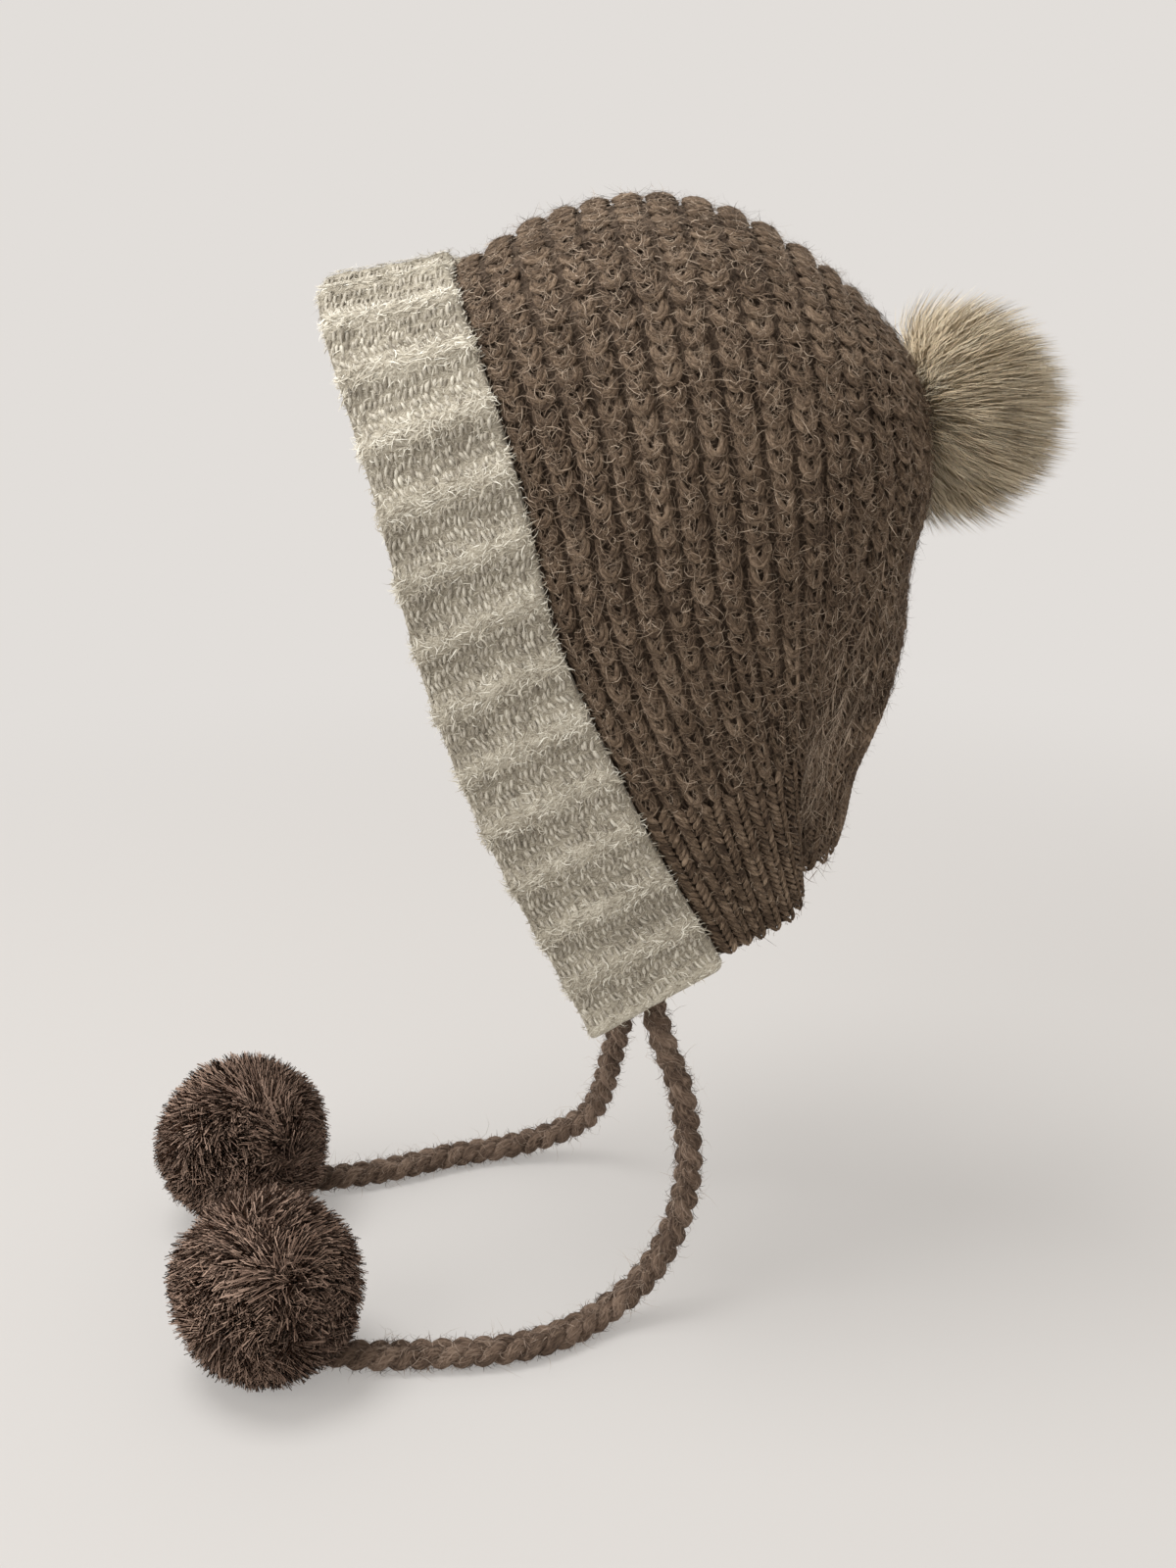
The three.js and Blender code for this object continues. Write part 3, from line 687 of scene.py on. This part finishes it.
def knit_wall():
    """The cloth's wall between its stitches: an outer and an inner face on one grid of along and
    side, both in low relief of columns and rows, joined along the hems and the front edge. The two
    halves share their points along the middle of the back."""
    tucked = np.linspace(SHELL_START, FACE, 4)[:-1]
    along = np.concatenate([tucked, np.linspace(FACE, BACK, KNIT_COLUMNS * 4 + 1)])
    side = np.linspace(-1, 1, 101)
    a, s = np.meshgrid(along, side, indexing="ij")
    row = np.cos(2 * np.pi * (1 - np.abs(s)) * column_length(a) / KNIT_ROW)
    crest = np.exp(-((s / 0.2) ** 2))
    outer = cloth(a, s, -0.003 + 0.0017 * crest + 0.0022 * column_rise(a))
    inner = cloth(a, s, -WALL - 0.0004 + 0.0008 * column_rise(a) * (1 + 0.5 * row))
    index = np.arange(a.size).reshape(a.shape)
    half = a.shape[1] // 2
    index[-1, :half] = index[-1, :half:-1]
    far = index + a.size

    def faces(grid, flip):
        """The quads of one face, turned over where flip."""
        quads = np.stack([grid[:-1, :-1], grid[1:, :-1], grid[1:, 1:], grid[:-1, 1:]], -1)
        return quads.reshape(-1, 4)[:, ::-1] if flip else quads.reshape(-1, 4)

    def rim(edge, other):
        """The quads between two edges."""
        return np.stack([edge[:-1], edge[1:], other[1:], other[:-1]], -1)

    quads = np.vstack([
        faces(index, True), faces(far, False),
        rim(index[0], far[0]), rim(far[:, 0], index[:, 0]), rim(index[:, -1], far[:, -1]),
    ])
    points = np.concatenate([outer.reshape(-1, 3), inner.reshape(-1, 3)])
    uv = np.stack([a / 1000, (1 - np.abs(s)) * column_length(a)], -1).reshape(-1, 2)
    tone = np.zeros(len(points))
    return add_piece("hood_wall", points, quads, knit_ground, np.vstack([uv, uv]), tone)


def column_width(along, side):
    """The width of one knit column where the cloth is narrower or wider, in metres."""
    half = COLUMN_STEP / 2
    return np.linalg.norm(cloth(along + half, side) - cloth(along - half, side), axis=-1)


def yarn_on_cloth(rng, a, s, out, radius, tone, flatness=1.0, sides=5):
    """Tubes of yarn along lines over the cloth. Each has its own start in the yarn's streaks and
    its own tone, drawn from tone's mean and spread. Returns points, quads, uv and tones."""
    points, quads, uv = sweep(cloth(a, s, out), cloth_normal(a, s), radius, flatness, sides)
    n, k = radius.shape
    uv[:, 1] += np.repeat(rng.uniform(0, 1, n), k * sides)
    return points, quads, uv, np.repeat(rng.normal(*tone, n), k * sides)


def every(*ranges):
    """Every combination of the ranges' values, as one array for each range."""
    return (grid.ravel() for grid in np.meshgrid(*ranges, indexing="ij"))


def waffle_loops(rng, hand):
    """The waffle stitches of one half, in rows up each column. A stitch is two strands like a U.
    Over t from -1 to 1, x across the column goes as a sine, y up the column as a power of t and
    z out of the cloth falls as another, so both ends dip behind the next stitch. The second
    strand lies within the first and a little higher."""
    centres = FACE + (np.arange(KNIT_COLUMNS) + 0.5) * COLUMN_STEP
    lengths = column_length(centres)
    counts = np.round((lengths - NECK_HEIGHT) / KNIT_ROW).astype(int)
    column = np.repeat(np.arange(KNIT_COLUMNS), counts * 2)
    row = np.concatenate([np.repeat(np.arange(c), 2) for c in counts])
    strand = np.tile((0, 1), counts.sum())[:, None]
    pitch = ((lengths - NECK_HEIGHT) / counts)[column]
    n, steps = len(column), 8
    t = np.linspace(-1, 1, steps)[None]
    own = np.repeat(rng.normal(0, 1, (n // 2, 5)), 2, 0)[..., None]
    y = -0.5 + 1.02 * np.abs(t) ** 1.8 + 0.2 * strand + 0.03 * own[:, 0] + 0.03 * own[:, 1] * t
    swing = 0.345 - 0.1 * strand + 0.015 * own[:, 2]
    x = swing * np.sin(1.75 * t) + 0.015 * own[:, 3] + 0.03 * own[:, 4] * y
    from_hem = NECK_HEIGHT + (row[:, None] + 0.5 + y) * pitch[:, None]
    a = centres[column][:, None] + x * COLUMN_STEP
    s = hand * np.clip(1 - from_hem / column_length(a), -0.02, 1)
    dip = 0.0028 - 0.0019 * np.exp(-((s / 0.16) ** 2))
    z = 0.0016 + 0.0003 * strand + rng.normal(0, 0.0001, (n, 1)) - dip * np.abs(t) ** 2.2
    wide = column_width(centres[column], s[:, steps // 2])
    radius = (0.11 * wide * rng.normal(1, 0.06, n))[:, None] * (1 - 0.35 * np.abs(t) ** 4)
    return yarn_on_cloth(rng, a, s, z, radius, (0, 0.04), flatness=0.85)


def neck_legs(rng, hand):
    """The rib stitches of one half's neck, in rows up from the hem. A stitch is two short legs like
    a V. Over t from 0 to 1 a leg leans out across the column and climbs by a power of t, and it
    rises off the cloth by a sine and falls by a power of t behind the next stitch."""
    rows = int(NECK_HEIGHT / NECK_ROW)
    column, row, leg = every(np.arange(NECK_COLUMNS), np.arange(rows), (-1, 1))
    neck_step = (BACK - FACE) / NECK_COLUMNS
    centres = FACE + (column + 0.5) * neck_step
    n, steps = len(column), 5
    t = np.linspace(0, 1, steps)[None]
    x = leg[:, None] * (0.05 + 0.38 * t + rng.normal(0, 0.01, (n, 1)))
    y = (row[:, None] + 0.1 + 1.6 * t**0.9 + rng.normal(0, 0.05, (n, 1))) * NECK_ROW
    z = 0.0011 + 0.0007 * np.sin(np.pi * t) - 0.0019 * t**1.5
    a = centres[:, None] + x * neck_step
    s = hand * (1 - (y + 0.0002) / column_length(a))
    wide = column_width(centres, s[:, steps // 2]) * NECK_SHARE
    radius = (0.125 * wide * rng.normal(1, 0.05, n))[:, None] * (1 - 0.45 * (2 * t - 1) ** 4)
    return yarn_on_cloth(rng, a, s, z, radius, (0.01, 0.045))


def knit_stitches(name, hand, seed):
    """All the stitches of one half as one piece. Each is a line in its own column, row and height,
    put on the cloth and swept into a tube."""
    rng = np.random.default_rng(seed)
    loops, legs = waffle_loops(rng, hand), neck_legs(rng, hand)
    points, _, uv, tone = (np.concatenate(pair) for pair in zip(loops, legs))
    quads = np.vstack([loops[1], legs[1] + len(loops[0])])
    return add_piece(name, points, quads, knit_yarn, uv, tone)


KNIT_HAIRS = 25000
USUAL_WIDTH = 0.0135
USUAL_LENGTH = 0.33


def knit_halo(name, hand, seed):
    """The brushed fuzz of one half: curved fibres that lie on the stitches, more on the ridges than
    in the furrows, and a few long ones that stand off them. Fibres on the ridges are painted paler
    than those in the furrows: painted light and shade. In a rubbed place low at the back, a bell
    over along and height, the fibres are denser and most are combed down, and they are painted paler
    there, partly wear and partly a painted highlight."""
    rng = np.random.default_rng(seed)
    tries = 6 * KNIT_HAIRS
    share = rng.uniform(-0.002, 1, tries)
    a = rng.uniform(FACE + 0.5, BACK, tries)
    from_hem = (1 - share) * column_length(a)
    area = column_width(a, share * hand) / USUAL_WIDTH * column_length(a) / USUAL_LENGTH
    ridge = column_rise(a)
    in_rib = from_hem < NECK_HEIGHT
    crown = 1 + 0.6 * np.exp(-((share / 0.25) ** 2))
    # A bell low at the back: a rubbed place where the fibres are denser and combed down, and painted
    # paler, partly wear and partly a painted highlight.
    wear_and_highlight = np.exp(-(((a - 175) / 26) ** 2) - ((from_hem - 0.065) / 0.06) ** 2)
    density = area * crown * np.where(in_rib, 0.55, 0.16 + 0.84 * ridge) * (1 + 0.8 * wear_and_highlight)
    keep = np.flatnonzero(rng.uniform(0, 1.6, tries) < density)[:KNIT_HAIRS]
    a, share, ridge, in_rib, wear_and_highlight = (each[keep] for each in (a, share, ridge, in_rib, wear_and_highlight))
    n = len(a)
    side = share * hand
    normal = cloth_normal(a, side)
    down = unit(cloth(a, side + 0.01 * hand) - cloth(a, side - 0.01 * hand))
    standing = rng.uniform(0, 1, n) < 0.09
    height = np.where(in_rib, 0.0016, 0.0005 + 0.0026 * ridge)
    base = cloth(a, side, height * rng.uniform(0.7, 1.15, n))
    length = either(rng, standing, (0.005, 0.013), (0.003, 0.0068))
    length = np.where(in_rib, length * 0.6, length)
    lift = either(rng, standing, (0.001, 0.005), (-0.0006, 0.0007))
    heading = rng.uniform(0, 2 * np.pi, n)
    curl = rng.normal(0, 1.8, n)
    combed = rng.uniform(0, 1.15, n) < wear_and_highlight
    heading = np.where(combed, rng.normal(0, 0.4, n), heading)
    curl = np.where(combed, 0.25 * curl, curl)
    length = np.where(combed, rng.uniform(0.005, 0.011, n), length)
    base = base + normal * np.where(combed, 0.0008, 0)[:, None]
    lines = loose_lines(base, normal, down, heading, length, lift, curl)
    facing = normal + rng.normal(0, 0.3, (n, 3))
    width = np.where(standing, LOOSE_WIDTH, rng.uniform(0.00022, 0.00038, n))
    # Fibre tone: painted paler on the ridges and darker in the furrows as painted light and shade, and
    # painted paler in the rubbed place low at the back, in part a painted highlight.
    tone = np.clip(0.36 + rng.normal(0, 0.24, n) + 0.16 * (ridge - 0.6) + 0.22 * wear_and_highlight, -0.1, 1)
    return add_fibres(name, lines, facing, width, (tone, tone + 0.08), normal, knit_fuzz)


wall = knit_wall()
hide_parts("hood_shell")
hood_pieces = [
    wall,
    knit_stitches("left_stitches", 1, 11), knit_stitches("right_stitches", -1, 12),
    knit_halo("left_fuzz", 1, 13), knit_halo("right_fuzz", -1, 14),
]
for piece in hood_pieces:
    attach(piece, "root")

# Face band. A ribbed cloth of heather cream wool folded double, turned back over the
# hood's front edge and sewn along its inner hem. Its ribs run across it.
BAND_WIDTH = 56.0
BAND_LAYER = 0.0045
FOLD_ROUND = 5
EDGE_ROUND = 3.5
INNER_EDGE = 46.7
RIB_COUNT = 14
RIB_RISE = 0.0036
RIB_STEPS = 12
BAND_HAIRS = 22000
BAND_LIGHT = (0.7, 0.66, 0.56)
band_wool = yarn_finish(
    "band_wool", (0.2, 0.175, 0.135), (0.4, 0.36, 0.285), BAND_LIGHT,
    thread=(0.0022, 0.0004), bump=0.8, depth=0.0006,
)
band_yarn = yarn_finish(
    "band_yarn", (0.24, 0.21, 0.165), (0.5, 0.46, 0.385), BAND_LIGHT, thread=(0.0003, 0.003),
)
band_fuzz = fibre_finish("band_fuzz", (0.17, 0.14, 0.1), (0.49, 0.445, 0.355), (0.86, 0.83, 0.73))


def rib_height(side):
    """How far a rib stands over the valleys at side: a rounded ridge on each rib's middle, 0 to 1."""
    phase = np.abs((np.asarray(side) * RIB_COUNT + 0.5) % 1 - 0.5)
    return np.exp(-((phase / 0.225) ** 2.4))


def quarter_round(way):
    """The height of a quarter circle over its way: 0 at 0, and 1 from 1 on."""
    return np.sqrt(np.clip(1 - (1 - np.clip(way, 0, 1)) ** 2, 0, 1))


def band_face(along, side):
    """The height of the band's outer face over the cloth, in metres: its layer, its ribs and a fine
    ripple. It rounds off to nothing at the fold and to a quarter at the sewn edge."""
    along = np.asarray(along, float)
    ripple = 0.0003 * np.sin(along * 0.9 + 60 * side) * np.sin(side * 97 + along * 0.3)
    top = BAND_LAYER - 0.0004 + RIB_RISE * rib_height(side) + ripple
    edge = quarter_round((BAND_WIDTH - along) / EDGE_ROUND)
    return top * quarter_round(along / FOLD_ROUND) * (0.25 + 0.75 * edge)


def face_band():
    """The band as one closed skin on a grid: round the folded cloth's section, and along the face
    opening from hem to hem. Both ends are closed."""
    edge, flat = np.linspace(BAND_WIDTH, BAND_WIDTH - 4, 6), np.linspace(BAND_WIDTH - 7, 7, 16)
    outer = np.concatenate([edge, flat, [5, 3.5, 2.2, 1.2, 0.5, 0.1]])
    inner = np.array([0.1, 0.5, 1.2, 2.5, 5, 10, 16, 22, 28, 34, 40, 44, INNER_EDGE])
    side = np.linspace(-1, 1, RIB_COUNT * 2 * RIB_STEPS + 1)[:, None]
    outside = cloth(outer, side, band_face(outer, side))
    under = (-BAND_LAYER + 0.0008 * rib_height(side)) * quarter_round(inner / FOLD_ROUND)
    inside = cloth(inner, side, under)
    lip = cloth(INNER_EDGE, side, 0.0003)
    section = np.concatenate([outside, inside, lip], 1)
    points = np.vstack([section.reshape(-1, 3), section[0].mean(0), section[-1].mean(0)])
    faces = closed_skin(*section.shape[:2])
    grid = np.broadcast_arrays(side, np.hstack([outer, inner, INNER_EDGE]))
    sides, alongs = (each.ravel() for each in grid)
    uv = np.stack([alongs / 1000, sides * 0.33], 1)
    uv = np.vstack([uv, uv[:2]])
    # The ribs' ridges are painted lighter and the valleys darker: painted light and shade.
    tone = np.append(0.1 * rib_height(sides) - 0.06, [0, 0])
    return add_piece("face_band_cloth", points, faces, band_wool, uv, tone)


def band_stitches(name, seed):
    """The slanting legs of stitches that show in the band's valleys as short upright dashes, in
    rows across the band."""
    rng = np.random.default_rng(seed)
    across = np.arange(2.0, BAND_WIDTH - 2.5, 2.1)
    lanes = np.array([-0.3, -0.1, 0.1, 0.3])
    rib, lane, a = every(np.arange(-RIB_COUNT, RIB_COUNT), lanes, across)
    n = len(rib)
    middle = (rib + 0.5 + lane * 0.9 + rng.normal(0, 0.028, n)) / RIB_COUNT
    a = a + rng.normal(0, 0.5, n)
    t = np.linspace(-0.5, 0.5, 4)[None]
    s = np.clip(middle[:, None] + t * rng.uniform(0.13, 0.2, (n, 1)) / RIB_COUNT, -0.998, 0.998)
    slant = np.where(lane > 0, 1.3, -1.3) + rng.normal(0, 0.6, n)
    along = a[:, None] + t * slant[:, None]
    out = band_face(along, s) + 0.0006 + rng.normal(0, 0.00015, (n, 1)) - 0.0013 * (2 * t) ** 2
    radius = rng.uniform(0.0006, 0.00085, n)[:, None] * (1 - 0.6 * (2 * t) ** 2)
    tubes = yarn_on_cloth(rng, along, s, out, radius, (0, 0.07), sides=4)
    return add_piece(name, *tubes[:2], band_yarn, *tubes[2:])


def band_halo(name, seed):
    """Brushed fibres over the band. On a rib they lie along it, in a valley they lie across, and at
    the two edges they stand out over the edge."""
    rng = np.random.default_rng(seed)
    side = rng.uniform(-0.997, 0.997, 2 * BAND_HAIRS)
    side = side[rng.uniform(0, 1, 2 * BAND_HAIRS) < 0.3 + 0.7 * rib_height(side)][:BAND_HAIRS]
    n = len(side)
    a = rng.uniform(0.2, BAND_WIDTH, n)
    at_edge = rng.uniform(0, 1, n) < 0.1
    fold_first = rng.uniform(0, 1, n) < 0.5
    edge = np.where(fold_first, rng.uniform(0, 2, n), BAND_WIDTH - rng.uniform(0, 2, n))
    a = np.where(at_edge, edge, a)
    ridge = rib_height(side)
    normal = cloth_normal(a, side)
    forward = unit(cloth(a - 1, side) - cloth(a + 1, side))
    on_rib = rng.uniform(0, 1, n) < ridge
    heading = np.where(on_rib, rng.normal(0.15, 0.35, n), np.pi / 2 + rng.normal(0, 0.7, n))
    heading = heading + np.where(rng.uniform(0, 1, n) < np.where(on_rib, 0.3, 0.5), np.pi, 0)
    heading = np.where(at_edge, rng.normal(0, 0.6, n) + np.where(a > 10, np.pi, 0), heading)
    standing = rng.uniform(0, 1, n) < 0.07
    length = either(rng, on_rib & ~at_edge, (0.0026, 0.0056), (0.0016, 0.0036))
    lift = either(rng, standing, (0.001, 0.003), (-0.0002, 0.0007))
    fold = np.clip(1 - a / 4, 0, 1)[:, None]
    out = unit(normal + fold * forward)
    base = cloth(a, side, band_face(a, side) + rng.uniform(0.0, 0.0009, n) * (0.4 + ridge))
    ahead = unit(forward - out * (forward * out).sum(1, keepdims=True))
    lines = loose_lines(base, out, ahead, heading, length, lift, rng.normal(0, 1.3, n))
    width = np.where(standing, 0.00018, rng.uniform(0.00028, 0.0005, n))
    # Fibres on the ribs are painted lighter than those in the valleys: a painted highlight on the
    # ridges.
    tone = np.clip(rng.normal(0.36, 0.26, n) + 0.14 * ridge, -0.1, 1)
    facing = out + rng.normal(0, 0.3, (n, 3))
    return add_fibres(name, lines, facing, width, (tone - 0.05, tone + 0.12), out, band_fuzz)


band = face_band()
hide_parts("face_band")
for piece in (band, band_stitches("band_stitches", 21), band_halo("band_fuzz", 22)):
    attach(piece, "root")

# Crown pompom. A ball of long beige fur on a small leather backing, sewn on at the top
# of the back. Its hair is combed out and back.
FUR_CENTRE = np.array([0, 0.114, -0.072])
FUR_RADIUS = 0.042
FUR_HAIRS = 24500
FUR_LOCKS = 520
FUR_COMB = np.array([0, 0.3, -0.03])
fur_hair = fibre_finish(
    "fur_hair", (0.3, 0.215, 0.12), (0.75, 0.595, 0.395), (0.96, 0.86, 0.66), sheen=0.3,
)
fur_down = yarn_finish(
    "fur_down", (0.12, 0.085, 0.055), (0.27, 0.21, 0.14), (0.45, 0.36, 0.25), thread=(0.0006, 0.004),
)


def before_hood(points):
    """Points of the pompom kept behind the hood: y is at least that of the hood's back at the
    point's height, which falls off sideways with the square of x."""
    height = np.array([-0.2, -0.11, -0.078, -0.068, -0.0635, -0.053, -0.0385, -0.0205])
    back = np.array([0.093, 0.1045, 0.105, 0.103, 0.101, 0.095, 0.084, 0.063])
    nearest = np.interp(points[..., 2], height, back) - 2.8 * points[..., 0] ** 2 + 0.0005
    return np.stack([points[..., 0], np.maximum(points[..., 1], nearest), points[..., 2]], -1)


def fur_ball(name, seed):
    """Straight hairs in locks. Each hair leaves the backing in its own direction, and with the way
    to the power 1.5 leans to its lock and with the square of the way to the comb."""
    rng = np.random.default_rng(seed)
    locks = unit(even_directions(FUR_LOCKS) + rng.normal(0, 0.06, (FUR_LOCKS, 3)))
    heading = unit(even_directions(FUR_HAIRS) + rng.normal(0, 0.05, (FUR_HAIRS, 3)))
    heading = heading[heading[:, 1] > -0.6]
    n = len(heading)
    nearest = np.argmax(heading @ locks.T, 1)
    reach = FUR_RADIUS * rng.uniform(0.99, 1.09, FUR_LOCKS)[nearest] * rng.uniform(0.8, 1.09, n)
    u = np.linspace(0, 1, 4)[None, :, None]
    lean = 0.3 * u**1.5
    direction = heading[:, None] * (1 - lean) + locks[nearest][:, None] * lean + FUR_COMB * u**2
    direction = unit(direction + rng.normal(0, 0.06, (n, 1, 3)) * u)
    lines = before_hood(FUR_CENTRE + direction * (0.5 + 0.5 * u) * reach[:, None, None])
    width = rng.uniform(0.00022, 0.0004, n)
    lock_tone = rng.normal(0, 0.05, FUR_LOCKS)[nearest]
    tone = (lock_tone + rng.normal(0.42, 0.1, n), lock_tone + rng.normal(0.74, 0.18, n))
    facing = unit(rng.normal(0, 1, (n, 3)))
    return add_fibres(name, lines, facing, width, tone, direction[:, -1], fur_hair)


fur = fur_ball("crown_pompom_fur", 51)
down_centre = FUR_CENTRE + np.array([0, 0.003, 0])
down = ball_heart("crown_pompom_down", down_centre, FUR_RADIUS * 0.68, fur_down, before_hood)
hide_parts("crown_pompom")
for piece in (fur, down):
    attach(piece, "root")

# Table and light. A plain pale floor that fades into a pale room, a soft lamp above the face side
# and a larger one in front of it.
BACKDROP = (0.7605, 0.7305, 0.7011, 1)
turn = np.linspace(0, 2 * np.pi, 97)[:-1]
reach = np.array([0.4, 0.9, 1.6, 2.6, 4.0, 7.0, 14.0, 26.0])[:, None]
disc = np.stack(np.broadcast_arrays(reach * np.cos(turn), reach * np.sin(turn), TABLE_Z), -1)
disc_index = np.arange(disc.shape[0] * disc.shape[1]).reshape(disc.shape[:2])
disc_points = np.vstack([disc.reshape(-1, 3), [(0, 0, TABLE_Z)]])
disc_faces = np.vstack([ring_quads(disc_index), fan(disc_index.size, disc_index[0])])
floor_finish, tree, shader = new_finish("pale_floor")
shader.inputs["Base Color"].default_value = (0.5, 0.484, 0.466, 1)
shader.inputs["Roughness"].default_value = 0.9
shader.inputs["Specular IOR Level"].default_value = 0.1
glow = node(tree, "ShaderNodeEmission", Color=BACKDROP)
place = node(tree, "ShaderNodeTexCoord")
far = node(tree, "ShaderNodeVectorMath", operation="LENGTH")
fade = node(
    tree, "ShaderNodeMapRange", interpolation_type="SMOOTHSTEP",
    **{"From Min": 0.55, "From Max": 1.1, "To Min": 0.4},
)
mix = node(tree, "ShaderNodeMixShader")
for source, target in (
    (place.outputs["Object"], far.inputs[0]),
    (far.outputs["Value"], fade.inputs["Value"]),
    (fade.outputs["Result"], mix.inputs["Fac"]),
    (shader.outputs["BSDF"], mix.inputs[1]),
    (glow.outputs["Emission"], mix.inputs[2]),
    (mix.outputs["Shader"], tree.nodes["Material Output"].inputs["Surface"]),
):
    tree.links.new(source, target)
floor = add_piece("floor", disc_points, disc_faces, floor_finish)

world = bpy.data.worlds.new("pale_room")
bpy.context.scene.world = world
world.use_nodes = True
world.node_tree.nodes["Background"].inputs["Color"].default_value = BACKDROP

LIGHT_AIM = (0, 0, -0.2)
LIGHTS = (
    # name, place, size, watts
    ("key_light", (0.2, -0.6, 1.65), 1.1, 30),
    ("front_light", (1.5, -1.5, 0.7), 2.0, 30),
)
for name, place, size, watts in LIGHTS:
    lamp = bpy.data.lights.new(name, "AREA")
    lamp.shape = "DISK"
    lamp.size = size
    lamp.energy = watts
    holder = bpy.data.objects.new(name, lamp)
    holder.location = place
    holder.rotation_euler = (Vector(LIGHT_AIM) - Vector(place)).to_track_quat("-Z", "Y").to_euler()
    bpy.context.scene.collection.objects.link(holder)
bpy.context.scene.view_settings.view_transform = "Standard"
